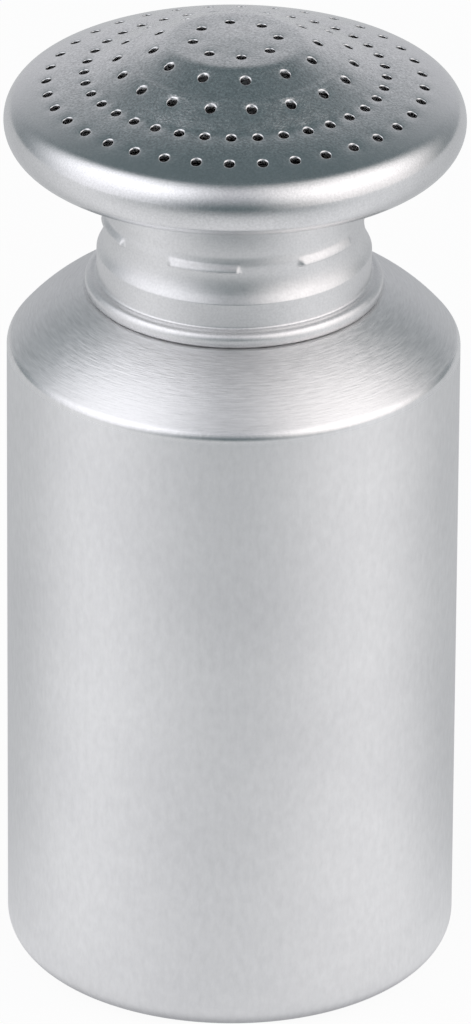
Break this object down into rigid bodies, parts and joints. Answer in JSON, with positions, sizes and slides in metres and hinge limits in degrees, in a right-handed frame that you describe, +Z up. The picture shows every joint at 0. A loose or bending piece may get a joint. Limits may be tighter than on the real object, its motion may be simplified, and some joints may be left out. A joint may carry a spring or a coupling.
{
  "type": "spice shaker",
  "caption": "Aluminium shaker: a drawn can with a conical shoulder and a screw-on mushroom head with rings of holes.",
  "frame": {"origin": "on the resting plane, on the can's axis", "axes": "+Z up along the can's axis, towards the perforated head; the front, as first seen, is -Y"},
  "size_m": [0.081, 0.081, 0.1762],
  "materials": {
    "can_aluminium": "satin, brushed round the shoulder",
    "collar_aluminium": "satin polished",
    "head_aluminium": "satin polished",
    "seal_rubber": "matt"
  },
  "bodies": {
    "container": {"container_body": "can_aluminium"},
    "seal": {"seal_ring": "seal_rubber"},
    "cap": {"cap_collar": "collar_aluminium", "perforated_head": "head_aluminium"}
  },
  "joints": [
    {"name": "cap_lift", "type": "slide", "parent": "container", "child": "seal", "axis": [0, 0, 1], "range_m": [0, 0.024]},
    {"name": "cap_turn", "type": "hinge", "parent": "seal", "child": "cap", "pos_m": [0, 0, 0.143], "axis": [0, 0, 1], "range_deg": [0, 720]}
  ],
  "couplings": [
    {"joint": "cap_lift", "follows": "cap_turn", "m_per_rad": 0.0019099}
  ]
}
